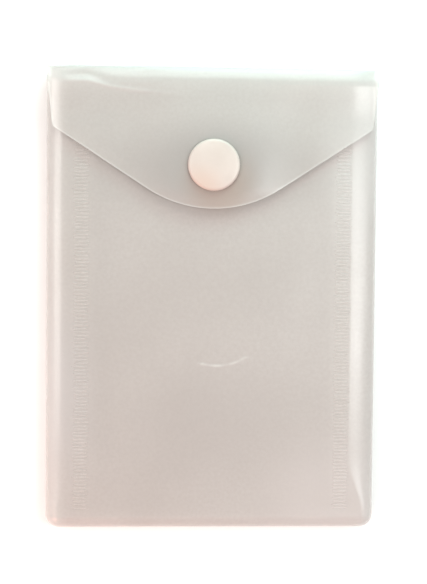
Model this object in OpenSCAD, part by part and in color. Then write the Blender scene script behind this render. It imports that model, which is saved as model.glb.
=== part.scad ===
// Snap-closure pocket case of frosted polypropylene sheet, closed and lying on its back.
// Body and flap are one die-cut sheet; here it is divided at its creases and folds into
// panels. A two-part press stud holds the flap to the front panel.
// X is the width, +Y runs up to the top fold, +Z leaves the front panel.
// The origin is the middle of the footprint, on the back panel's outer face.

/* [Case] */
// Overall width
case_w = 110; // [100:1:160]
// Overall height, from the bottom fold to the top fold
case_h = 153; // [130:1:230]
// Outer depth of the pocket, from the back panel to the front panel
depth = 9; // [7:0.5:12]
// Thickness of the sheet
sheet_t = 0.5; // [0.3:0.1:0.6]
// Distance from the top fold down to the front panel's upper edge
mouth_drop = 2.5; // [1.5:0.5:6]

/* [Side welds] */
// Distance from a side edge in to the front panel's edge
edge_strip = 5; // [4:0.5:6]
// Distance from a side edge in to the weld tab's inner edge
tab_reach = 15.6; // [13:0.1:20]
// Distance from a side edge in to the weld's ribs
seam_inset = 9; // [7:0.5:10]
// Length of a weld rib, across the seam
seam_w = 5.6; // [3:0.1:6]
// Distance between weld ribs, along the seam
rib_pitch = 1.15; // [0.8:0.05:2]
// Height of a weld rib above the front panel
rib_h = 0.15; // [0.1:0.05:0.3]

/* [Flap] */
// Distance from the top fold to the flap's tip
flap_drop = 46.3; // [42:0.1:52]
// Distance between the flap's two side corners
flap_w = 106; // [90:1:108]
// Radius of the flap's tip
tip_r = 40; // [25:1:45]
// Slope of the straight edges beside the tip, in degrees
flap_slope = 33; // [20:1:36]
// Radius on the flap's side corners
flap_corner_r = 2; // [1:0.5:4]

/* [Press stud] */
// Distance from the top fold to the stud's centre
snap_drop = 32; // [26:0.5:35]
// Diameter of the outer cap
cap_d = 17; // [14:0.5:20]
// Thickness of the outer cap
cap_t = 1.8; // [1.4:0.1:3]
// Bevel round the outer cap's face
cap_bevel = 0.7; // [0.3:0.1:1]
// Diameter of the socket, the stud's flange and the backing cap
base_d = 12; // [11:0.5:14]
// Height of the socket
socket_h = 2.1; // [2:0.1:3]
// Diameter of the stud's knob at its foot
knob_d = 5.8; // [5:0.1:6.5]
// Thickness of the stud's flange
flange_t = 0.8; // [0.6:0.1:1.2]
// Thickness of the backing cap inside the pocket
backing_t = 1; // [0.8:0.1:1.5]
// Diameter of the posts that join each half of the stud through its sheet
post_d = 2.5; // [2:0.1:3]

/* [Hidden] */
$fn = 96;
sheet_colour = [0.83, 0.80, 0.77];
seam_colour = [0.88, 0.85, 0.83];
snap_colour = [0.97, 0.94, 0.89];

half_w = case_w / 2;
top_y = case_h / 2;
fold_r = depth / 2;                    // outer radius of the bottom fold
side_r = (depth - sheet_t) / 2;        // outer radius of the side folds, one sheet lower
flat_y = fold_r - top_y;               // where the bottom fold ends and the panels begin
corner_x = half_w - fold_r;            // where the bottom fold's rounded ends begin
side_x = half_w - side_r;              // where the side folds begin
panel_z = depth - sheet_t;             // underside of the front panel
tab_z = panel_z - sheet_t;             // underside of the weld tabs
mouth_y = top_y - mouth_drop;

crease_y = top_y - sheet_t / 2;        // both creases of the spine
crease_gap = 0.1;                      // free space between a crease and the panel beside it
hinged_y = crease_y - sheet_t / 2 - crease_gap;
wall_end_y = hinged_y - 0.4;           // the side walls stop just short of the spine

snap_y = top_y - snap_drop;
snap_gap = 0.1;                        // between the closed socket and the stud's flange
socket_z = depth + flange_t + snap_gap;
flap_z = socket_z + socket_h;          // underside of the flap
web_t = 0.3;                           // the socket's roof, against the flap
knob_top_z = flap_z - web_t - 0.2;
knob_taper = 0.35;                     // how much narrower the knob's end is, on the radius
cavity_r = knob_d / 2 + 0.35;
mouth_flare = 0.4;
spine_h = flap_z + sheet_t / 2;        // height of the flap's crease

tab_cut = 6;                           // slanted cut on the weld tabs' ends
seam_base_t = 0.05;                    // fused skin that the ribs stand on
seam_end_gap = 2;
edge_top_x = half_w - 0.6;             // the flap and spine are a little narrower than the case

// Points of an arc about centre c, from angle a0 to a1 in n steps
function arc(c, r, a0, a1, n) =
    [for (i = [0:n]) c + r * [cos(a0 + (a1 - a0) * i / n), sin(a0 + (a1 - a0) * i / n)]];

// Outline of the right half of the flap, from the crease round to the tip.
// Its straight lower edge is tangent to the tip's arc and to the corner's arc.
tip_c = [0, top_y - flap_drop + tip_r];
tip_edge = tip_c + tip_r * [sin(flap_slope), -cos(flap_slope)];
side_corner = [flap_w / 2, tip_edge.y + (flap_w / 2 - tip_edge.x) * tan(flap_slope)];
side_lean = atan2(edge_top_x - flap_w / 2, hinged_y - side_corner.y);
corner_turn = 90 - flap_slope - side_lean;
corner_back = flap_corner_r * tan(corner_turn / 2);
corner_start = side_corner + corner_back * [sin(side_lean), cos(side_lean)];
corner_c = corner_start + flap_corner_r * [-cos(side_lean), sin(side_lean)];
right_edge = concat(
    [[edge_top_x, hinged_y]],
    arc(corner_c, flap_corner_r, -side_lean, flap_slope - 90, 8),
    arc(tip_c, tip_r, flap_slope - 90, -90, 24)
);
left_edge = [for (i = [len(right_edge) - 2:-1:0]) [-right_edge[i].x, right_edge[i].y]];

// A panel of sheet between two X and two Y positions, with its underside at z
module panel(x0, x1, y0, y1, z) {
    translate([x0, y0, z]) cube([x1 - x0, y1 - y0, sheet_t]);
}

// Half of a ring of sheet, seen from its end: the section of a half-round fold
module half_ring(r) {
    difference() {
        circle(r = r);
        circle(r = r - sheet_t);
        translate([-2 * r, -r]) square([2 * r, 2 * r]);
    }
}

// The right-hand side fold: a half-round channel, open towards the pocket
module side_wall() {
    translate([side_x, wall_end_y, side_r]) rotate([90, 0, 0])
        linear_extrude(wall_end_y - flat_y) half_ring(side_r);
}

// The right-hand weld tab: the end of the side fold, lying under the front panel
module weld_tab() {
    inner_x = half_w - tab_reach;
    translate([0, 0, tab_z]) linear_extrude(sheet_t) polygon([
        [side_x, flat_y + 1], [inner_x + tab_cut / 2, flat_y + 1], [inner_x, flat_y + 1 + tab_cut],
        [inner_x, mouth_y - tab_cut], [inner_x + tab_cut / 2, mouth_y - 1], [side_x, mouth_y - 1]
    ]);
}

// The right-hand weld: a row of ribs on a thin fused skin, as a comb-shaped profile
module weld_seam() {
    length = mouth_y - flat_y - 2 * seam_end_gap;
    ribs = floor(length / rib_pitch);
    top = seam_base_t + rib_h;
    teeth = [for (i = [0:ribs - 1]) for (p = [[0.2, 0], [0.35, 1], [0.65, 1], [0.8, 0]])
        [(i + p[0]) * rib_pitch, p[1] > 0 ? top : seam_base_t]];
    translate([half_w - seam_inset - seam_w, flat_y + seam_end_gap, depth])
        rotate([90, 0, 90]) linear_extrude(seam_w)
            polygon(concat([[0, 0], [0, seam_base_t]], teeth,
                [[ribs * rib_pitch, seam_base_t], [ribs * rib_pitch, 0]]));
}

module back_panel() {
    color(sheet_colour) panel(-side_x, side_x, flat_y, hinged_y, 0);
}

module front_panel() {
    color(sheet_colour) difference() {
        panel(edge_strip - half_w, half_w - edge_strip, flat_y, mouth_y, panel_z);
        translate([0, snap_y, 0]) cylinder(h = 2 * depth, d = post_d);
    }
}

// Half-round fold along the bottom, closed at each end by a quarter of a ball
module bottom_fold() {
    color(sheet_colour) translate([0, flat_y, fold_r]) {
        rotate([90, 0, -90]) linear_extrude(2 * corner_x, center = true) half_ring(fold_r);
        for (side = [0, 1])
            mirror([side, 0, 0]) translate([corner_x, 0, 0])
                rotate([0, 0, -90]) rotate_extrude(angle = 90) half_ring(fold_r);
    }
}

module right_side_wall() {
    color(sheet_colour) side_wall();
}

module left_side_wall() {
    color(sheet_colour) mirror([1, 0, 0]) side_wall();
}

module right_weld_tab() {
    color(sheet_colour) weld_tab();
}

module left_weld_tab() {
    color(sheet_colour) mirror([1, 0, 0]) weld_tab();
}

module right_weld_seam() {
    color(seam_colour) weld_seam();
}

module left_weld_seam() {
    color(seam_colour) mirror([1, 0, 0]) weld_seam();
}

// Back of the top fold, with a rounded bead on the line of each crease
module top_spine() {
    color(sheet_colour) translate([-edge_top_x, crease_y, 0]) {
        translate([0, -sheet_t / 2, sheet_t / 2])
            cube([2 * edge_top_x, sheet_t, spine_h - sheet_t / 2]);
        for (z = [sheet_t / 2, spine_h])
            translate([0, 0, z]) rotate([0, 90, 0]) cylinder(h = 2 * edge_top_x, d = sheet_t);
    }
}

module flap() {
    color(sheet_colour) difference() {
        translate([0, 0, flap_z]) linear_extrude(sheet_t) polygon(concat(right_edge, left_edge));
        translate([0, snap_y, 0]) cylinder(h = 2 * spine_h, d = post_d);
    }
}

// Outer cap, with the post that passes through the flap into the socket's roof
module snap_cap() {
    r = cap_d / 2;
    base = flap_z + sheet_t;
    color(snap_colour) translate([0, snap_y, 0]) rotate_extrude() polygon([
        [0, flap_z - web_t], [post_d / 2, flap_z - web_t], [post_d / 2, base], [r, base],
        [r, base + cap_t - cap_bevel], [r - cap_bevel, base + cap_t], [0, base + cap_t]
    ]);
}

// Ring under the flap whose flared cavity takes the stud's knob
module snap_socket() {
    r = base_d / 2;
    roof = flap_z - web_t;
    color(snap_colour) translate([0, snap_y, 0]) rotate_extrude() polygon([
        [cavity_r + mouth_flare, socket_z], [r - mouth_flare, socket_z],
        [r, socket_z + mouth_flare], [r, flap_z], [post_d / 2, flap_z],
        [post_d / 2, roof], [cavity_r, roof], [cavity_r, socket_z + mouth_flare]
    ]);
}

// Flange and tapered knob on the front panel, bored for the backing cap's post
module snap_stud() {
    knob_r = knob_d / 2;
    color(snap_colour) translate([0, snap_y, 0]) rotate_extrude() polygon([
        [post_d / 2, depth], [base_d / 2, depth], [base_d / 2, depth + flange_t],
        [knob_r, depth + flange_t], [knob_r - knob_taper, knob_top_z], [post_d / 2, knob_top_z]
    ]);
}

// Disc inside the pocket, with the post that passes through the front panel into the stud
module stud_backing_cap() {
    post_top = knob_top_z - 0.6;
    color(snap_colour) translate([0, snap_y, 0]) rotate_extrude() polygon([
        [0, panel_z - backing_t], [base_d / 2 - 0.3, panel_z - backing_t],
        [base_d / 2, panel_z - backing_t + 0.3], [base_d / 2, panel_z], [post_d / 2, panel_z],
        [post_d / 2, post_top], [0, post_top]
    ]);
}

back_panel();
front_panel();
bottom_fold();
left_side_wall();
right_side_wall();
left_weld_tab();
right_weld_tab();
left_weld_seam();
right_weld_seam();
top_spine();
flap();
snap_cap();
snap_socket();
snap_stud();
stud_backing_cap();
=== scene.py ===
"""Looks of the frosted pocket case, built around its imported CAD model.

Lengths are in millimetres up to the point where a mesh is made, and MM turns them into metres.
The case lies on its back: +X to the right, +Y to the top fold, +Z out of the front panel.
"""

import math

import bmesh
import bpy
import numpy as np
from mathutils import Matrix, Vector


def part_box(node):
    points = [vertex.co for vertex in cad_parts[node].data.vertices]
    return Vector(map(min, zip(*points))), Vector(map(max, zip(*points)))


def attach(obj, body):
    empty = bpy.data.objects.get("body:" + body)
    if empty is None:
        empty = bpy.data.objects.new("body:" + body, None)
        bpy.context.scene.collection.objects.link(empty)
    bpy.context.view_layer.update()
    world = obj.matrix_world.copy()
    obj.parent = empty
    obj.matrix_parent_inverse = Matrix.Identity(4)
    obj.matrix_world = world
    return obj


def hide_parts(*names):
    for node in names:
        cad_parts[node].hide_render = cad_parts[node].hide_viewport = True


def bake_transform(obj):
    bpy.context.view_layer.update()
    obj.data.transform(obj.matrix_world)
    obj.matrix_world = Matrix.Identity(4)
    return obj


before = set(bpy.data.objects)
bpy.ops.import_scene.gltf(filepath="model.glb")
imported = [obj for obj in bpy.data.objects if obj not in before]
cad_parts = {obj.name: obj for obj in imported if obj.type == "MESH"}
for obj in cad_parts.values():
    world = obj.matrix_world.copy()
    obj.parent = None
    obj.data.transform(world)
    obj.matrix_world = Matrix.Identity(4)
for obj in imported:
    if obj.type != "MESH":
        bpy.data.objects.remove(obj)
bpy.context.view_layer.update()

MM = 0.001


# ---------------------------------------------------------------- sizes from the frame
def box_mm(node):
    """Lowest and highest corner of a CAD node, in millimetres."""
    low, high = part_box(node)
    return np.array(low) / MM, np.array(high) / MM


front_low, front_high = box_mm("front_panel")
fold_high = box_mm("bottom_fold")[1]
wall_high = box_mm("right_side_wall")[1]
spine_high = box_mm("top_spine")[1]
flap_low, flap_high = box_mm("flap")
cap_low, cap_high = box_mm("snap_cap")
socket_low, socket_high = box_mm("snap_socket")
stud_low, stud_high = box_mm("snap_stud")
backing_low, backing_high = box_mm("stud_backing_cap")

SHEET = front_high[2] - front_low[2]     # thickness of the plastic sheet
HALF_W = wall_high[0]                    # half the case's width
TOP_Y = spine_high[1]                    # outer face of the top fold
FLAT_Y = fold_high[1]                    # where the bottom fold ends
FRONT_Z = front_high[2]                  # outer face of the front panel
SPINE_HALF = spine_high[0]               # half the top fold's width
SNAP_Y = (cap_low[1] + cap_high[1]) / 2  # centre of the press stud
CAP_R = (cap_high[0] - cap_low[0]) / 2   # radius of its outer cap
FLAP_TOP_Z = flap_high[2]                # outer face of the flap at the press stud

# The flap's outline, as the CAD's own flap has it
FLAP_HALF = 53.0                         # half-width at the flap's side corners
TIP_R = 40.0                             # radius of its round tip
FLAP_SLOPE = math.radians(33)            # slope of the straight edges beside the tip
FLAP_CORNER_R = 2.0                      # radius of its side corners
TIP_CENTRE_Y = flap_low[1] + TIP_R
TANGENT_X = TIP_R * math.sin(FLAP_SLOPE)                 # where the tip's arc meets the straight edge
TANGENT_Y = TIP_CENTRE_Y - TIP_R * math.cos(FLAP_SLOPE)


# ---------------------------------------------------------------- small tools
def smooth(t):
    """0 up to 0, 1 from 1, and an even curve between."""
    t = np.clip(t, 0.0, 1.0)
    return t * t * (3 - 2 * t)


def lines(low, high, step, *fine):
    """Grid positions from low to high, a step apart, and closer in each (low, high, step) of fine."""
    places = list(np.linspace(low, high, max(2, int(round((high - low) / step)) + 1)))
    for fine_low, fine_high, fine_step in fine:
        places = [p for p in places if not fine_low < p < fine_high]
        count = int(round((fine_high - fine_low) / fine_step)) + 1
        places += list(np.linspace(fine_low, fine_high, count))
    places = sorted(p for p in places if low - 1e-9 <= p <= high + 1e-9)
    kept = [places[0]]
    for p in places[1:]:
        if p - kept[-1] > 0.02:
            kept.append(p)
    kept[-1] = high
    return np.array(kept)


def soft_path(corners, count):
    """Evenly spaced points along a polygon whose corners are rounded off."""
    path = np.array(corners, float)
    for _ in range(4):
        cut = np.empty((2 * len(path) - 2, 2))
        cut[0::2] = 0.75 * path[:-1] + 0.25 * path[1:]
        cut[1::2] = 0.25 * path[:-1] + 0.75 * path[1:]
        path = np.vstack([path[:1], cut, path[-1:]])
    length = np.concatenate([[0], np.cumsum(np.hypot(*np.diff(path, axis=0).T))])
    even = np.linspace(0, length[-1], count)
    return np.stack([np.interp(even, length, path[:, 0]), np.interp(even, length, path[:, 1])], axis=-1)


def grid_of(x, y, z):
    """A patch of points, from three arrays that broadcast to rows by columns."""
    x, y, z = np.broadcast_arrays(x, y, z)
    return np.stack([x, y, z], axis=-1).astype(float)


# ---------------------------------------------------------------- marks on the sheet
# A thumbnail-shaped crease on the front panel: an arc's centre and radius, and the angles of its ends
NAIL_CENTRE = np.array([1.6, -4.6])
NAIL_R = 17.2
NAIL_FROM = math.radians(-112)
NAIL_TO = math.radians(-48)
NAIL_RISE = 0.12                         # height of the crease
NAIL_WHITE = 0.7                         # how white it is
# A handling crease across the flap's left end, just below the top fold: (x, y) along it
HANDLING_X = (-50.0, -41.3, -34.7, -26.7, -5.0)
HANDLING_Y = (71.5, 71.7, 69.9, 68.8, 67.4)


def nail_mark(x, y):
    """How strongly the thumbnail crease shows at a point, from 0 to 1."""
    dx, dy = x - NAIL_CENTRE[0], y - NAIL_CENTRE[1]
    angle = np.arctan2(dy, dx)
    share = (angle - NAIL_FROM) / (NAIL_TO - NAIL_FROM)
    ends = smooth(share / 0.12) * smooth((1 - share) / 0.25)
    broken = 0.75 + 0.25 * np.sin(share * 23) - 0.45 * np.exp(-((share - 0.55) / 0.09) ** 2)
    across = np.hypot(dx, dy) - NAIL_R
    return np.exp(-(across / 0.36) ** 2) * ends * broken


def handling_mark(x, y):
    """How strongly the flap's handling crease shows at a point, from 0 to 1."""
    off = y - np.interp(x, HANDLING_X, HANDLING_Y)
    ends = smooth((x - HANDLING_X[0]) / 3) * smooth((HANDLING_X[-1] - x) / 28)
    return np.exp(-(off / 0.6) ** 2) * ends


def handling_dent(x, y):
    """How deep the flap is pushed in beside its handling crease, from 0 to 1."""
    off = y - np.interp(x, HANDLING_X, HANDLING_Y) - 1.9
    return np.exp(-(off / 1.3) ** 2 - ((x + 42) / 7.5) ** 2)


def left_fold_painted_light(x):
    """Painted light along the left side's fold, as a whitening: strongest in the last millimetre and gone
    8 mm in.
    """
    return 0.32 * smooth((-x - HALF_W + 8.0) / 7.0)


# ---------------------------------------------------------------- shapes of the sheet
# Half-section of the pocket's front beside each edge: (distance in from the edge, height), from the
# flat of the panel, down a slanted shoulder, to where the side is upright
PANEL_END = 9.5
SHOULDERS = {
    -1: ((PANEL_END, 9.0), (6.4, 9.0), (4.5, 8.78), (2.2, 8.0), (1.0, 7.1), (0.2, 6.0), (0, 4.5)),
    1: ((PANEL_END, 9.0), (8.6, 9.0), (6.6, 8.72), (4.0, 8.02), (2.2, 7.3), (0.5, 6.1), (0, 4.5)),
}
PILLOW = 0.42                            # how far the middle of the front stands off flat
CALM_R = 15                              # how far the flat round the stud reaches on the front
# Dents where the bottom fold pinches the corners: x, y, depth, width
CORNER_DENTS = ((45.0, -69.0, 0.12, 3.4), (-45.5, -69.5, 0.15, 3.0))


def swell(x, y):
    """How far the pocket's front stands off flat: a soft pillow with shallow waves, calm at the stud."""
    u = 1 - (x / HALF_W) ** 2
    v = 1 - (y / TOP_Y) ** 2
    pillow = PILLOW * np.clip(u, 0, 1) * np.clip(v, 0, 1)
    waves = 0.10 * np.sin(x / 15 + 0.6) * np.sin(y / 21 + 1.1) + 0.06 * np.sin(x / 8 - y / 13)
    calm = 1 - np.exp(-(x * x + (y - SNAP_Y) ** 2) / CALM_R**2)
    dents = 0.0
    for corner_x, corner_y, depth, wide in CORNER_DENTS:
        dents = dents - depth * np.exp(-((x - corner_x) ** 2 + (y - corner_y) ** 2) / wide**2)
    return (pillow + waves * np.clip(6 * u, 0, 1)) * calm + dents


def lift(points):
    """Raises a patch of the pocket by swell, fully at the front and not at all at the back."""
    share = np.clip(points[..., 2] / FRONT_Z, 0, 1) ** 2
    points[..., 2] += share * swell(points[..., 0], points[..., 1])
    return points


def shoulder(side, count=29):
    """The half-section beside one edge, as even points of (distance in from the edge, height)."""
    return soft_path(SHOULDERS[side], count)


def shoulder_drop(x):
    """How far the shoulders lie below the flat of the panel, at x across the pocket."""
    drop = np.zeros(np.shape(x))
    for side in (-1, 1):
        section = shoulder(side)[::-1]
        height = np.interp(HALF_W - side * x, section[:, 0], section[:, 1])
        drop = drop + np.where(side * x > 0, FRONT_Z - height, 0)
    return drop


def flap_edge_y(x):
    """Y of the flap's lower edge at a distance x from the middle."""
    x = np.abs(x)
    tip = TIP_CENTRE_Y - np.sqrt(np.clip(TIP_R**2 - x**2, 0, None))
    straight = TANGENT_Y + (x - TANGENT_X) * math.tan(FLAP_SLOPE)
    edge = np.where(x < TANGENT_X, tip, straight)
    # the round side corner, between the slope and the side edge
    r = FLAP_CORNER_R
    corner_x = FLAP_HALF - r
    corner_y = TANGENT_Y + (corner_x - TANGENT_X) * math.tan(FLAP_SLOPE) + r / math.cos(FLAP_SLOPE)
    start = corner_x + r * math.sin(FLAP_SLOPE)
    fillet = corner_y - np.sqrt(np.clip(r * r - (x - corner_x) ** 2, 0, None))
    return np.where(x > start, fillet, edge)


# The top fold from the side, as (y, z): up the spine, over a slanted shoulder, to the flap's start
SPLIT_Z = 6.2                            # where the spine passes from one piece to the other
FOLD_PATH = ((TOP_Y, SPLIT_Z), (TOP_Y, 9.4), (TOP_Y, 10.6), (75.7, 11.2), (72.9, 12.0), (71.8, 12.1),
             (70.8, 12.1))
FLAP_START_Y, FOLD_TOP_Z = FOLD_PATH[-1]
SIDE_SAG = 1.7                           # how far the flap's side corners sag
TIP_DIP = 1.7                            # how far its tip bends down past the press stud
SHOULDER_SHARE = 0.75                    # how much of the pocket's shoulders the flap follows
STUD_FLAT = 8.0                          # how far the flat round the press stud's cap fades out


def flap_z(x, y):
    """Height of the flap's outer face: from the fold to the press stud, sagging beside the stud."""
    level = FLAP_TOP_Z + (FOLD_TOP_Z - FLAP_TOP_Z) * smooth((y - SNAP_Y) / (FLAP_START_Y - SNAP_Y))
    sag = SIDE_SAG * smooth((np.abs(x) - 6) / 25) * smooth((FLAP_START_Y + 8 - y) / 20)
    dip = TIP_DIP * smooth((SNAP_Y - CAP_R + 1.5 - y) / 9.0)
    ripple = 0.03 * np.sin(x / 9 + 0.4) * np.sin(y / 11 + 0.8)
    at_snap = np.exp(-(np.clip(np.hypot(x, y - SNAP_Y) - CAP_R - 0.7, 0, None) / STUD_FLAT) ** 2)
    shoulders = SHOULDER_SHARE * shoulder_drop(np.clip(x, 2 - HALF_W, HALF_W - 2))
    loose = level - sag - dip + ripple * (1 - at_snap) - shoulders
    return loose + (FLAP_TOP_Z - loose) * at_snap + flap_marks(x, y)


def flap_marks(x, y):
    """Height of the flap's handling crease and of the dent beside it."""
    return 0.18 * handling_mark(x, y) - 0.32 * handling_dent(x, y)


# ---------------------------------------------------------------- materials
def new_material(name):
    """A material with its node tree and its one shader."""
    material = bpy.data.materials.new(name)
    material.use_nodes = True
    tree = material.node_tree
    return material, tree, tree.nodes["Principled BSDF"]


def noise(tree, scale, detail=3.0, stretch=(1, 1, 1)):
    """Noise fixed to the object, with its features about 1 / scale metres across."""
    coords = tree.nodes.new("ShaderNodeTexCoord")
    mapping = tree.nodes.new("ShaderNodeMapping")
    mapping.inputs["Scale"].default_value = stretch
    texture = tree.nodes.new("ShaderNodeTexNoise")
    texture.inputs["Scale"].default_value = scale
    texture.inputs["Detail"].default_value = detail
    tree.links.new(coords.outputs["Object"], mapping.inputs["Vector"])
    tree.links.new(mapping.outputs["Vector"], texture.inputs["Vector"])
    return texture.outputs["Fac"]


def ranged(tree, value, low, high, from_low=0.3, from_high=0.7):
    """The value stretched from its own range, which is most of a noise's by default, to low..high."""
    node = tree.nodes.new("ShaderNodeMapRange")
    node.inputs["From Min"].default_value = from_low
    node.inputs["From Max"].default_value = from_high
    node.inputs["To Min"].default_value = low
    node.inputs["To Max"].default_value = high
    tree.links.new(value, node.inputs["Value"])
    return node.outputs["Result"]


def mixed(tree, factor, a, b):
    """A colour between a and b, which are colours or sockets."""
    node = tree.nodes.new("ShaderNodeMix")
    node.data_type = "RGBA"
    tree.links.new(factor, node.inputs["Factor"])
    for socket, value in ((node.inputs[6], a), (node.inputs[7], b)):
        if isinstance(value, bpy.types.NodeSocket):
            tree.links.new(value, socket)
        else:
            socket.default_value = (*value, 1)
    return node.outputs[2]


def add_bump(tree, shader, layers):
    """Bump from several (height socket, depth in metres) layers, one after another."""
    normal = None
    for height, depth in layers:
        bump = tree.nodes.new("ShaderNodeBump")
        bump.inputs["Strength"].default_value = 1.0
        bump.inputs["Distance"].default_value = depth
        tree.links.new(height, bump.inputs["Height"])
        if normal is not None:
            tree.links.new(normal, bump.inputs["Normal"])
        normal = bump.outputs["Normal"]
    tree.links.new(normal, shader.inputs["Normal"])


def patch_round(tree, place, amount, near, far, stretch=(1, 1, 1)):
    """A soft-edged patch: amount up to near from place, in metres, and 0 from far. stretch squeezes it."""
    coords = tree.nodes.new("ShaderNodeTexCoord")
    mapping = tree.nodes.new("ShaderNodeMapping")
    mapping.inputs["Scale"].default_value = stretch
    distance = tree.nodes.new("ShaderNodeVectorMath")
    distance.operation = "DISTANCE"
    distance.inputs[1].default_value = tuple(p * s for p, s in zip(place, stretch))
    tree.links.new(coords.outputs["Object"], mapping.inputs["Vector"])
    tree.links.new(mapping.outputs["Vector"], distance.inputs[0])
    fade = ranged(tree, distance.outputs["Value"], amount, 0.0, near, far)
    fade.node.interpolation_type = "SMOOTHSTEP"
    return fade


# Painted light and shade on the sheet, as soft patches: place, amount, radius of its full part, radius of
# its end, squeeze, tint
PAINTED_LIGHT_AND_SHADE_PATCHES = (
    # painted shade round the press stud's cap, mostly on the flap
    ((1, SNAP_Y - 2, FLAP_TOP_Z), 0.85, 5, 22, (0.42, 1, 2.5), (0.79, 0.79, 0.79)),
    # brown painted shadow below the press stud's cap
    ((2, SNAP_Y - 6.5, FLAP_TOP_Z), 0.60, 4, 16, (1, 1, 2), (0.80, 0.66, 0.57)),
    # painted shade low in the middle of the front
    ((2, -40, FRONT_Z), 0.36, 4, 30, (0.62, 1, 1), (0.88, 0.87, 0.87)),
    # painted light at the lower right
    ((40, -66, FRONT_Z), 0.60, 3, 30, (0.85, 1, 1), (1.22, 1.22, 1.25)),
    # painted light along the left side
    ((-52, -30, FRONT_Z), 0.38, 2, 18, (1, 0.42, 1), (1.16, 1.22, 1.29)),
    # painted light at the upper right
    ((50, 48, FRONT_Z + 1), 0.42, 4, 20, (1, 0.50, 1), (1.22, 1.26, 1.30)),
)


def frosted_sheet(name, alpha, light, shade):
    """Frosted polypropylene: cloudy, finely grained, a little scuffed, whiter where it was creased, with
    patches of painted light and shade, and with painted light along some folds and edges.
    """
    material, tree, shader = new_material(name)
    clouds = ranged(tree, noise(tree, 28, 2.0), 0, 1)
    colour = mixed(tree, clouds, shade, light)
    mottle = ranged(tree, noise(tree, 900, 2.0), 0, 0.35)
    colour = mixed(tree, mottle, colour, tuple(0.86 * c for c in shade))
    # paints the patches of light and shade into the sheet's colour
    for place, amount, near, far, stretch, tint in PAINTED_LIGHT_AND_SHADE_PATCHES:
        spot = patch_round(tree, tuple(p * MM for p in place), amount, near * MM, far * MM, stretch)
        colour = mixed(tree, spot, colour, tuple(a * b for a, b in zip(shade, tint)))
    # the crease attribute holds the whitening of real creases together with painted light along folds and
    # edges
    creased = tree.nodes.new("ShaderNodeAttribute")
    creased.attribute_name = "crease"
    colour = mixed(tree, creased.outputs["Fac"], colour, (0.93, 0.91, 0.88))
    tree.links.new(colour, shader.inputs["Base Color"])
    scuffs = ranged(tree, noise(tree, 160, 2.0, (1, 0.7, 1)), 0.285, 0.33)
    tree.links.new(scuffs, shader.inputs["Roughness"])
    shader.inputs["IOR"].default_value = 1.49
    shader.inputs["Specular IOR Level"].default_value = 0.9
    shader.inputs["Coat Weight"].default_value = 0.65
    shader.inputs["Coat Roughness"].default_value = 0.28
    shader.inputs["Alpha"].default_value = alpha
    grain = noise(tree, 2600, 2.0)
    rows = noise(tree, 900, 1.0, (0.12, 1, 1))
    ripple = noise(tree, 60, 2.0)
    add_bump(tree, shader, [(ripple, 0.00006), (rows, 0.000012), (grain, 0.000010)])
    return material


def cut_edge(name):
    """The sheet's cut edge, which gathers light and looks almost white."""
    material, tree, shader = new_material(name)
    burr = ranged(tree, noise(tree, 700, 3.0), 0, 1)
    tree.links.new(mixed(tree, burr, (0.70, 0.68, 0.65), (0.84, 0.82, 0.79)), shader.inputs["Base Color"])
    shader.inputs["Roughness"].default_value = 0.3
    shader.inputs["Alpha"].default_value = 0.9
    add_bump(tree, shader, [(noise(tree, 1500, 2.0), 0.00002)])
    return material


def snap_plastic(name):
    """Moulded warm white plastic: satin, with faint flow marks and scratches, and a pink painted warm
    light at the cap's lower left edge.
    """
    material, tree, shader = new_material(name)
    flow = ranged(tree, noise(tree, 140, 3.0), 0, 1)
    colour = mixed(tree, flow, (0.568, 0.486, 0.442), (0.608, 0.526, 0.482))
    # painted warm light, pink, at the cap's lower left edge
    place = (-0.005, (SNAP_Y - CAP_R) * MM, FLAP_TOP_Z * MM)     # the cap's lower left edge
    colour = mixed(tree, patch_round(tree, place, 0.6, 0.002, 0.011), colour, (0.60, 0.43, 0.35))
    tree.links.new(colour, shader.inputs["Base Color"])
    tree.links.new(ranged(tree, noise(tree, 420, 4.0, (1, 0.2, 1)), 0.28, 0.4), shader.inputs["Roughness"])
    shader.inputs["IOR"].default_value = 1.5
    skin = noise(tree, 1400, 2.0)
    scratches = noise(tree, 500, 3.0, (0.08, 1, 1))
    add_bump(tree, shader, [(skin, 0.000012), (scratches, 0.00001)])
    return material


SHEET_LIGHT = (0.668, 0.62, 0.588)
SHEET_SHADE = (0.618, 0.57, 0.538)
SHEET_MATERIAL = frosted_sheet("frosted_polypropylene", 0.50, SHEET_LIGHT, SHEET_SHADE)
SEAM_MATERIAL = frosted_sheet("fused_polypropylene", 0.16, (0.80, 0.76, 0.72), (0.72, 0.68, 0.64))
EDGE_MATERIAL = cut_edge("cut_polypropylene_edge")
SNAP_MATERIAL = snap_plastic("snap_plastic")


# ---------------------------------------------------------------- mesh building
def patches_to_mesh(name, patches, crease=None):
    """A mesh of quad grids that share their border points. crease(points) gives its whitening: real crease
    whitening together with painted light.
    """
    points, quads = [], []
    for patch in patches:
        rows, columns = patch.shape[:2]
        first = len(points)
        points.extend((patch.reshape(-1, 3) * MM).tolist())
        for r in range(rows - 1):
            for c in range(columns - 1):
                a = first + r * columns + c
                quads.append((a, a + 1, a + columns + 1, a + columns))
    mesh = bpy.data.meshes.new(name)
    mesh.from_pydata(points, [], quads)
    bm = bmesh.new()
    bm.from_mesh(mesh)
    bmesh.ops.remove_doubles(bm, verts=bm.verts, dist=0.01 * MM)
    bmesh.ops.dissolve_degenerate(bm, edges=bm.edges, dist=0.005 * MM)
    bmesh.ops.recalc_face_normals(bm, faces=bm.faces)
    bm.to_mesh(mesh)
    bm.free()
    # whitening of real creases and painted light, stored as the crease attribute
    if crease is not None:
        spots = np.array([v.co for v in mesh.vertices]) / MM
        layer = mesh.attributes.new("crease", "FLOAT", "POINT")
        layer.data.foreach_set("value", crease(spots).astype(np.float32))
    return mesh


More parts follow.
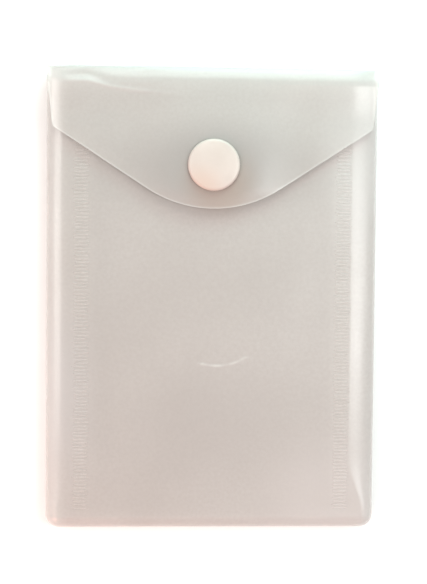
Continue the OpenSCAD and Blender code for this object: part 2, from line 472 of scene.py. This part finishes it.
def face_out(mesh, outward):
    """Turns all the mesh's faces over if they look against outward(centre), a direction."""
    total = sum(p.area * Vector(outward(p.center)).dot(p.normal) for p in mesh.polygons)
    if total < 0:
        mesh.flip_normals()


def settle(obj):
    """Replaces the object's mesh with its modifiers' result."""
    graph = bpy.context.evaluated_depsgraph_get()
    result = bpy.data.meshes.new_from_object(obj.evaluated_get(graph))
    obj.modifiers.clear()
    obj.data = result


def sheet_object(name, mesh, material, thickness, bevel=0.1, even=True):
    """A closed piece of sheet: the mesh is its outer face, and it is thickened inwards."""
    obj = bpy.data.objects.new(name, mesh)
    bpy.context.scene.collection.objects.link(obj)
    mesh.materials.append(material)
    mesh.materials.append(EDGE_MATERIAL)
    solid = obj.modifiers.new("Sheet", "SOLIDIFY")
    solid.thickness = thickness * MM
    solid.offset = -1
    solid.use_even_offset = even
    solid.material_offset_rim = 1
    if bevel:
        rounded = obj.modifiers.new("Rounded edges", "BEVEL")
        rounded.width = bevel * MM
        rounded.segments = 2
        rounded.limit_method = "ANGLE"
        rounded.angle_limit = math.radians(60)
        rounded.material = 1
    settle(obj)
    obj.data.shade_smooth()
    obj.data.set_sharp_from_angle(angle=math.radians(50))
    return obj


def closed_mesh(name, points, faces):
    """A mesh from points in metres, whose coinciding points are merged and whose faces look outwards."""
    mesh = bpy.data.meshes.new(name)
    mesh.from_pydata(points, [], faces)
    bm = bmesh.new()
    bm.from_mesh(mesh)
    bmesh.ops.remove_doubles(bm, verts=bm.verts, dist=0.002 * MM)
    bmesh.ops.recalc_face_normals(bm, faces=bm.faces)
    bm.to_mesh(mesh)
    bm.free()
    return mesh


def lathe(name, profile, material, steps=96):
    """A turned piece about the press stud's axis. The profile is (radius, height) round its section."""
    angles = np.linspace(0, 2 * math.pi, steps, endpoint=False)
    points, faces = [], []
    for radius, height in profile:
        for a in angles:
            points.append((radius * math.cos(a) * MM, (SNAP_Y + radius * math.sin(a)) * MM, height * MM))
    count = len(profile)
    for i in range(count - 1 if profile[0][0] < 1e-6 else count):
        for s in range(steps):
            n = (s + 1) % steps
            j = (i + 1) % count
            faces.append((i * steps + s, i * steps + n, j * steps + n, j * steps + s))
    mesh = closed_mesh(name, points, faces)
    obj = bpy.data.objects.new(name, mesh)
    bpy.context.scene.collection.objects.link(obj)
    mesh.materials.append(material)
    mesh.shade_smooth()
    mesh.set_sharp_from_angle(angle=math.radians(40))
    return obj


def rounded(corners):
    """A profile from (radius, height, rounding) corners, each rounded off in short steps."""
    profile = []
    count = len(corners)
    for i, (x, y, r) in enumerate(corners):
        here = np.array([x, y])
        if r == 0:
            profile.append((x, y))
            continue
        before = np.array(corners[i - 1][:2]) - here
        after = np.array(corners[(i + 1) % count][:2]) - here
        before /= np.linalg.norm(before)
        after /= np.linalg.norm(after)
        for t in np.linspace(0, 1, 7):
            a, b = here + before * r, here + after * r
            curve = (1 - t) ** 2 * a + 2 * t * (1 - t) * here + t**2 * b
            profile.append((float(curve[0]), float(curve[1])))
    return profile


def finish_piece(obj, body, slot, *nodes):
    """Fixes a piece to its body and hides the CAD nodes it stands for. slot is not used."""
    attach(obj, body)
    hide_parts(*nodes)


# ---------------------------------------------------------------- the pocket
TAB_GAP = 0.07                           # between the front panel and the tabs under it
STRIP_START_Y = TOP_Y - 2.6              # where the back panel passes into the crease's own piece
PANEL_STEP = 2.0                         # grid step along the pocket
NAIL_X = (-7.0, 12.5, 0.3)               # from, to and step of the finer grid at the thumbnail crease
NAIL_Y = (-23.0, -15.0, 0.3)


def pocket_patches():
    """The folded sheet of the pocket: back, sides, bottom fold, rounded corners and front."""
    r = FRONT_Z / 2
    ys = lines(FLAT_Y, STRIP_START_Y, PANEL_STEP, (FLAT_Y, FLAT_Y + 12, 0.75), NAIL_Y)[:, None]
    across = lines(-1, 1, 0.04, (NAIL_X[0] / 50, NAIL_X[1] / 50, NAIL_X[2] / 50))[None, :]
    flat_half = HALF_W - r
    soft = smooth((ys - FLAT_Y) / 20.0)
    panel_half = HALF_W - (r + (PANEL_END - r) * soft)
    patches = [grid_of(across * flat_half, ys, 0.0), grid_of(across * panel_half, ys, FRONT_Z)]

    quarter = np.linspace(0, math.pi / 2, 13)[None, :]
    out, up = np.sin(quarter), np.cos(quarter)
    turn = np.linspace(0, math.pi / 2, 11)[:, None]
    round_quarter = np.linspace(0, math.pi / 2, 29)
    round_in, round_up = r * (1 - np.sin(round_quarter)), r + r * np.cos(round_quarter)
    for side in (-1, 1):
        patches.append(grid_of(side * (flat_half + r * out), ys, r - r * up))
        section = shoulder(side)
        inset = round_in + (section[:, 0] - round_in) * soft
        height = round_up + (section[:, 1] - round_up) * soft
        patches.append(grid_of(side * (HALF_W - inset), ys, height))
        for low_or_high, part in ((-1, quarter), (1, round_quarter[None, :])):
            part_out, part_up = np.sin(part), np.cos(part)
            patches.append(grid_of(side * (flat_half + r * part_out * np.sin(turn)),
                                   FLAT_Y - r * part_out * np.cos(turn), r + low_or_high * r * part_up))
    for low_or_high, part in ((-1, quarter), (1, round_quarter[None, :])):
        patches.append(grid_of(across * flat_half, FLAT_Y - r * np.sin(part.T),
                               r + low_or_high * r * np.cos(part.T)))
    return [lift(p) for p in patches]


def front_nail_mark(points):
    """The thumbnail crease at each of the pocket's points, which is on the front only."""
    on_front = points[:, 2] > FRONT_Z - 0.2
    return np.where(on_front, nail_mark(points[:, 0], points[:, 1]), 0.0)


def pocket_crease_and_painted_light(points):
    """Whitening of the pocket: the thumbnail crease on its front, and painted light along the left side's
    fold.
    """
    return np.clip(NAIL_WHITE * front_nail_mark(points) + left_fold_painted_light(points[:, 0]), 0, 1)


def build_pocket():
    """The pocket as one folded sheet, with the thumbnail crease raised on its front."""
    mesh = patches_to_mesh("pocket_sheet", pocket_patches(), pocket_crease_and_painted_light)
    face_out(mesh, lambda c: (c.x * 0.2, c.y * 0.2, c.z - FRONT_Z / 2 * MM))
    spots = np.array([v.co for v in mesh.vertices]) / MM
    spots[:, 2] += NAIL_RISE * front_nail_mark(spots)
    mesh.vertices.foreach_set("co", (spots * MM).astype(np.float32).ravel())
    obj = sheet_object("pocket_sheet", mesh, SHEET_MATERIAL, SHEET)
    finish_piece(obj, "case", "frosted_sheet", "back_panel", "front_panel", "bottom_fold",
                 "left_side_wall", "right_side_wall")


def build_tab(side, name, node):
    """A side wall's flange inside the pocket, lying under the front panel, with its ends cut aslant."""
    low, high = box_mm(node)
    ys = lines(low[1] + 0.4, high[1] - 0.6, PANEL_STEP, (low[1] + 0.4, low[1] + 12, 0.75))[:, None]
    cut = smooth(1 - (ys - ys[0]) / 5.0) + smooth(1 - (ys[-1] - ys) / 5.0)
    inner = min(abs(low[0]), abs(high[0])) + 4 * cut
    outer = HALF_W - 4.2
    xs = inner + (outer - inner) * np.linspace(0, 1, 13)[None, :]
    ys = np.broadcast_to(ys, xs.shape)
    xs = side * xs
    z = FRONT_Z - shoulder_drop(xs) * 1.1 + swell(xs, ys) - SHEET - TAB_GAP
    mesh = patches_to_mesh(name, [grid_of(xs, ys, z)], lambda p: np.zeros(len(p)))
    face_out(mesh, lambda c: (0, 0, 1))
    obj = sheet_object(name, mesh, SHEET_MATERIAL, SHEET)
    finish_piece(obj, "case", "frosted_sheet", node)


# ---------------------------------------------------------------- the weld seams
RIB_PITCH = 1.15                         # from one rib to the next, along the seam
RIB_WIDTH = 0.62                         # of each rib, along the seam
RIB_RISE = 0.045                         # half of a rib's height


def build_seam(side, name, node):
    """Fused ribs along one side: fine rounded bars across the seam, each a little uneven."""
    low, high = box_mm(node)
    inner, outer = sorted((abs(low[0]), abs(high[0])))
    count = int((high[1] - low[1]) / RIB_PITCH)
    angles = np.linspace(0, 2 * math.pi, 8, endpoint=False)[None, :]
    share = np.linspace(0, 1, 9)[:, None]
    full = np.sqrt(np.clip(1 - (2 * share - 1) ** 6, 0, 1))
    points, faces = [], []
    for rib in range(count):
        jitter = math.sin(rib * 12.9898 + side) * 43758.5453 % 1.0
        skew = math.sin(rib * 78.233 + side) * 12345.678 % 1.0
        y = low[1] + (rib + 0.5 + 0.12 * (jitter - 0.5)) * (high[1] - low[1]) / count
        xs = side * (inner + 0.5 * jitter + (outer - inner - 0.7 * skew) * share)
        height = RIB_RISE * (0.8 + 0.4 * jitter)
        ring_x = np.broadcast_to(xs, (len(share), angles.shape[1]))
        ring_y = y + RIB_WIDTH / 2 * np.cos(angles) * full + 0.12 * (skew - 0.5) * share
        base = FRONT_Z + swell(ring_x, ring_y) + 0.012
        ring_z = base + height * full * (1 + np.clip(np.sin(angles), -1, 1))
        first = len(points)
        points.extend((np.stack([ring_x, ring_y, ring_z], axis=-1).reshape(-1, 3) * MM).tolist())
        around = angles.shape[1]
        for i in range(len(share) - 1):
            for k in range(around):
                n = (k + 1) % around
                a = first + i * around
                faces.append((a + k, a + n, a + around + n, a + around + k))
    mesh = closed_mesh(name, points, faces)
    mesh.shade_smooth()
    mesh.materials.append(SEAM_MATERIAL)
    obj = bpy.data.objects.new(name, mesh)
    bpy.context.scene.collection.objects.link(obj)
    finish_piece(obj, "case", "weld_ribs", node)


# ---------------------------------------------------------------- the top fold and the flap
STRIP_R = 2.4                            # outer radius of the back crease's bend


def bend_path(start, corner, end, radius, steps=9):
    """Points (y, z) from start to end along a right-angled path whose corner is rounded off."""
    start, corner, end = (np.array(p, float) for p in (start, corner, end))
    before, after = start - corner, end - corner
    before /= np.linalg.norm(before)
    after /= np.linalg.norm(after)
    centre = corner + (before + after) * radius
    path = []
    for a in np.linspace(0, math.pi / 2, steps):
        path.append(centre - after * radius * math.cos(a) - before * radius * math.sin(a))
    first = [start + (path[0] - start) * t for t in np.linspace(0, 1, 4)[:-1]]
    last = [path[-1] + (end - path[-1]) * t for t in np.linspace(0, 1, 5)[1:]]
    return np.array(first + path + last)


def build_back_crease():
    """The strip of sheet that turns up from the back panel into the lower half of the spine."""
    path = bend_path((STRIP_START_Y, 0), (TOP_Y, 0), (TOP_Y, SPLIT_Z), STRIP_R)
    length = np.concatenate([[0], np.cumsum(np.hypot(*np.diff(path, axis=0).T))])
    narrow = HALF_W - FRONT_Z / 2
    half = narrow + (SPINE_HALF - narrow) * smooth((length - 0.4) / 1.6)
    across = lines(-1, 1, 0.04)[None, :]
    patch = grid_of(across * half[:, None], path[:, :1], path[:, 1:])
    mesh = patches_to_mesh("back_crease", [patch], lambda p: np.zeros(len(p)))
    face_out(mesh, lambda c: (0, 1, -1))
    obj = sheet_object("back_crease", mesh, SHEET_MATERIAL, SHEET)
    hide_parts("top_spine")
    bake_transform(obj)


def flap_patches():
    """The upper half of the spine with the top fold, and the flap, which share their columns."""
    side = 1 - np.geomspace(0.002, 0.06, 9)
    middle = lines(-0.94, 0.94, 0.035, (-0.93, -0.60, 0.012))
    across = np.unique(np.concatenate([-side, middle, side, [-1.0, 1.0]]))
    path = soft_path(FOLD_PATH, 24)
    near_edge = 1 - np.array([0.0, 0.004, 0.009, 0.016, 0.026, 0.04])
    body = np.concatenate([np.linspace(0, 0.24, 17), np.linspace(0.26, 0.94, 24)])
    down = np.unique(np.concatenate([body, near_edge]))[:, None]
    edge_x = across * FLAP_HALF
    edge_y = flap_edge_y(edge_x)
    start_x = across * SPINE_HALF
    xs = start_x + (edge_x - start_x) * down
    ys = FLAP_START_Y + (edge_y - FLAP_START_Y) * down
    flap = grid_of(xs, ys, flap_z(xs, ys))
    start_y = np.full_like(start_x, FLAP_START_Y)
    rise = flap_z(start_x, start_y) - flap_marks(start_x, start_y) - FOLD_TOP_Z
    share = smooth((path[:, 1:] - SPLIT_Z) / (FOLD_TOP_Z - SPLIT_Z))
    fold_x, fold_y = np.broadcast_arrays(start_x, path[:, :1])
    marks = flap_marks(fold_x, fold_y) * smooth((TOP_Y - 0.3 - fold_y) / 1.2)
    fold = grid_of(fold_x, fold_y, path[:, 1:] + rise * share + marks)
    return [fold, flap]


def edge_distance(x, y):
    """Roughly how far a point on the flap lies from its lower edge or from its sides."""
    slope = np.where(np.abs(x) > TANGENT_X, math.cos(FLAP_SLOPE), 0.95)
    lower = (y - flap_edge_y(np.clip(x, -FLAP_HALF, FLAP_HALF))) * slope
    sides = (SPINE_HALF + (FLAP_HALF - SPINE_HALF) * smooth((TOP_Y - y) / 20)) - np.abs(x)
    return np.minimum(lower, sides)


def flap_crease_and_painted_light(points):
    """Whitening of the flap: a painted highlight along its cut edge, fading to the right, the handling
    crease, painted light along the left side, and painted light at the top.
    """
    x, y = points[:, 0], points[:, 1]
    # painted highlight along the cut edge, faded on the right where the light doesn't catch it
    edge = 0.4 * np.exp(-(np.clip(edge_distance(x, y), 0, None) / 0.35) ** 2)
    edge = np.where(y < FLAP_START_Y, edge, 0) * (1 - 0.7 * smooth((x - 24) / 12))
    # painted light on the top fold and just below it
    top = 0.14 * smooth((y - 66) / 6)
    return np.clip(edge + 0.26 * handling_mark(x, y) + left_fold_painted_light(x) + top, 0, 1)


def build_flap():
    """The flap and the upper half of the spine, which bend at the upper crease."""
    mesh = patches_to_mesh("flap_sheet", flap_patches(), flap_crease_and_painted_light)
    face_out(mesh, lambda c: (0, 0.3, 1))
    obj = sheet_object("flap_sheet", mesh, SHEET_MATERIAL, SHEET, even=False)
    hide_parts("flap")
    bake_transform(obj)


# ---------------------------------------------------------------- the press stud
def build_press_stud():
    """The press stud's four turned pieces: cap and socket on the flap, stud and backing on the front."""
    post_r = 1.25
    cap_base = FLAP_TOP_Z
    dome = [(CAP_R * t, cap_high[2] - 0.5 * t**2, 0) for t in (0, 0.25, 0.5, 0.7, 0.84)]
    cap = lathe("snap_cap_button", rounded(dome + [
        (CAP_R - 0.5, cap_high[2] - 0.5, 0.35), (CAP_R, cap_high[2] - 1.0, 0.35),
        (CAP_R, cap_base, 0.25), (post_r, cap_base, 0), (post_r, cap_low[2], 0), (0, cap_low[2], 0),
    ]), SNAP_MATERIAL)
    finish_piece(cap, "flap", "snap_plastic", "snap_cap")

    socket_r = socket_high[0]
    roof = socket_high[2] - 0.3
    socket = lathe("snap_socket_ring", rounded([
        (3.65, socket_low[2], 0.2), (socket_r - 0.25, socket_low[2], 0.2),
        (socket_r, socket_low[2] + 0.5, 0.2), (socket_r, socket_high[2], 0.15),
        (post_r, socket_high[2], 0), (post_r, roof, 0), (3.25, roof, 0.2),
        (3.25, socket_low[2] + 0.45, 0.15),
    ]), SNAP_MATERIAL)
    finish_piece(socket, "flap", "snap_plastic", "snap_socket")

    flange = stud_low[2] + 0.8
    stud = lathe("snap_stud_knob", rounded([
        (post_r, stud_low[2], 0), (stud_high[0], stud_low[2], 0.15), (stud_high[0], flange, 0.3),
        (2.9, flange, 0.15), (2.62, stud_high[2], 0.4), (post_r, stud_high[2], 0.1),
    ]), SNAP_MATERIAL)
    finish_piece(stud, "case", "snap_plastic", "snap_stud")

    disc_top = backing_low[2] + 1.0
    backing = lathe("stud_backing_disc", rounded([
        (0, backing_low[2], 0), (backing_high[0], backing_low[2], 0.35), (backing_high[0], disc_top, 0.1),
        (post_r, disc_top, 0), (post_r, backing_high[2], 0.3), (0, backing_high[2], 0),
    ]), SNAP_MATERIAL)
    finish_piece(backing, "case", "snap_plastic", "stud_backing_cap")


# ---------------------------------------------------------------- stage, light and camera
def build_stage():
    """A plain pale floor under the case."""
    bpy.ops.mesh.primitive_plane_add(size=6, location=(0, 0, -0.0002))
    floor = bpy.context.object
    floor.name = "floor"
    material, tree, shader = new_material("pale_floor")
    tone = ranged(tree, noise(tree, 4, 2.0), 0, 1)
    tree.links.new(mixed(tree, tone, (0.90, 0.90, 0.89), (0.92, 0.92, 0.91)), shader.inputs["Base Color"])
    shader.inputs["Roughness"].default_value = 0.9
    shader.inputs["Specular IOR Level"].default_value = 0.1
    floor.data.materials.append(material)


def add_light(name, place, target, size, power, colour):
    """A soft area light at place, in metres, looking at target."""
    data = bpy.data.lights.new(name, "AREA")
    data.shape = "RECTANGLE"
    data.size, data.size_y = size
    data.energy = power
    data.color = colour
    light = bpy.data.objects.new(name, data)
    bpy.context.scene.collection.objects.link(light)
    light.location = place
    light.rotation_mode = "QUATERNION"
    light.rotation_quaternion = (Vector(target) - Vector(place)).to_track_quat("-Z", "Y")


def build_world():
    """A plain white room, less than half as bright overhead as at the horizon."""
    world = bpy.data.worlds.new("white_room")
    world.use_nodes = True
    tree = world.node_tree
    background = tree.nodes["Background"]
    background.inputs["Color"].default_value = (1.0, 1.0, 1.0, 1)
    coords = tree.nodes.new("ShaderNodeTexCoord")
    parts = tree.nodes.new("ShaderNodeSeparateXYZ")
    tree.links.new(coords.outputs["Generated"], parts.inputs["Vector"])
    tree.links.new(ranged(tree, parts.outputs["Z"], 0.97, 0.435, 0.0, 1.0), background.inputs["Strength"])
    bpy.context.scene.world = world


def build_lights():
    """Two lamps for the glints on the side shoulders, one for the top fold's, and two tinted fills."""
    add_light("left_strip", (-0.34, 0.04, 0.38), (-0.05, 0.03, 0), (0.28, 0.18), 0.81, (1.0, 0.98, 0.95))
    add_light("right_strip", (0.26, -0.02, 0.36), (0.05, -0.01, 0), (0.17, 0.22), 0.82, (0.98, 1.0, 0.99))
    add_light("top_strip", (0.03, 0.37, 0.33), (0, 0.07, 0), (0.30, 0.13), 0.54, (1.0, 0.99, 0.95))
    add_light("cool_fill", (0.04, 0.20, 0.08), (0.01, 0.06, 0), (0.14, 0.05), 0.19, (0.52, 1.0, 0.95))
    add_light("warm_fill", (-0.18, -0.25, 0.16), (-0.02, 0, 0), (0.16, 0.12), 0.40, (1.0, 0.50, 0.40))


CAMERA_AT = Vector((-0.02065, 0.02042, 0.42715))
CAMERA_TURN = (math.radians(2.883), math.radians(-2.424), math.radians(0.529))


def build_camera():
    """A camera almost straight above the case, as the photograph was taken."""
    data = bpy.data.cameras.new("camera")
    data.lens = 78
    data.sensor_width = 36
    camera = bpy.data.objects.new("camera", data)
    bpy.context.scene.collection.objects.link(camera)
    across, along, roll = CAMERA_TURN
    forward = Vector((math.tan(across), math.tan(along), -1)).normalized()
    right = forward.cross(Vector((0, 1, 0))).normalized()
    up = right.cross(forward)
    turn = Matrix((right, up, -forward)).transposed() @ Matrix.Rotation(roll, 3, "Z")
    camera.matrix_world = Matrix.Translation(CAMERA_AT) @ turn.to_4x4()
    bpy.context.scene.camera = camera


build_camera()
build_pocket()
build_tab(-1, "left_tab", "left_weld_tab")
build_tab(1, "right_tab", "right_weld_tab")
build_seam(-1, "left_seam_ribs", "left_weld_seam")
build_seam(1, "right_seam_ribs", "right_weld_seam")
build_back_crease()
build_flap()
build_press_stud()
build_stage()
build_world()
build_lights()

scene = bpy.context.scene
scene.view_settings.view_transform = "Standard"
scene.cycles.transparent_max_bounces = 48
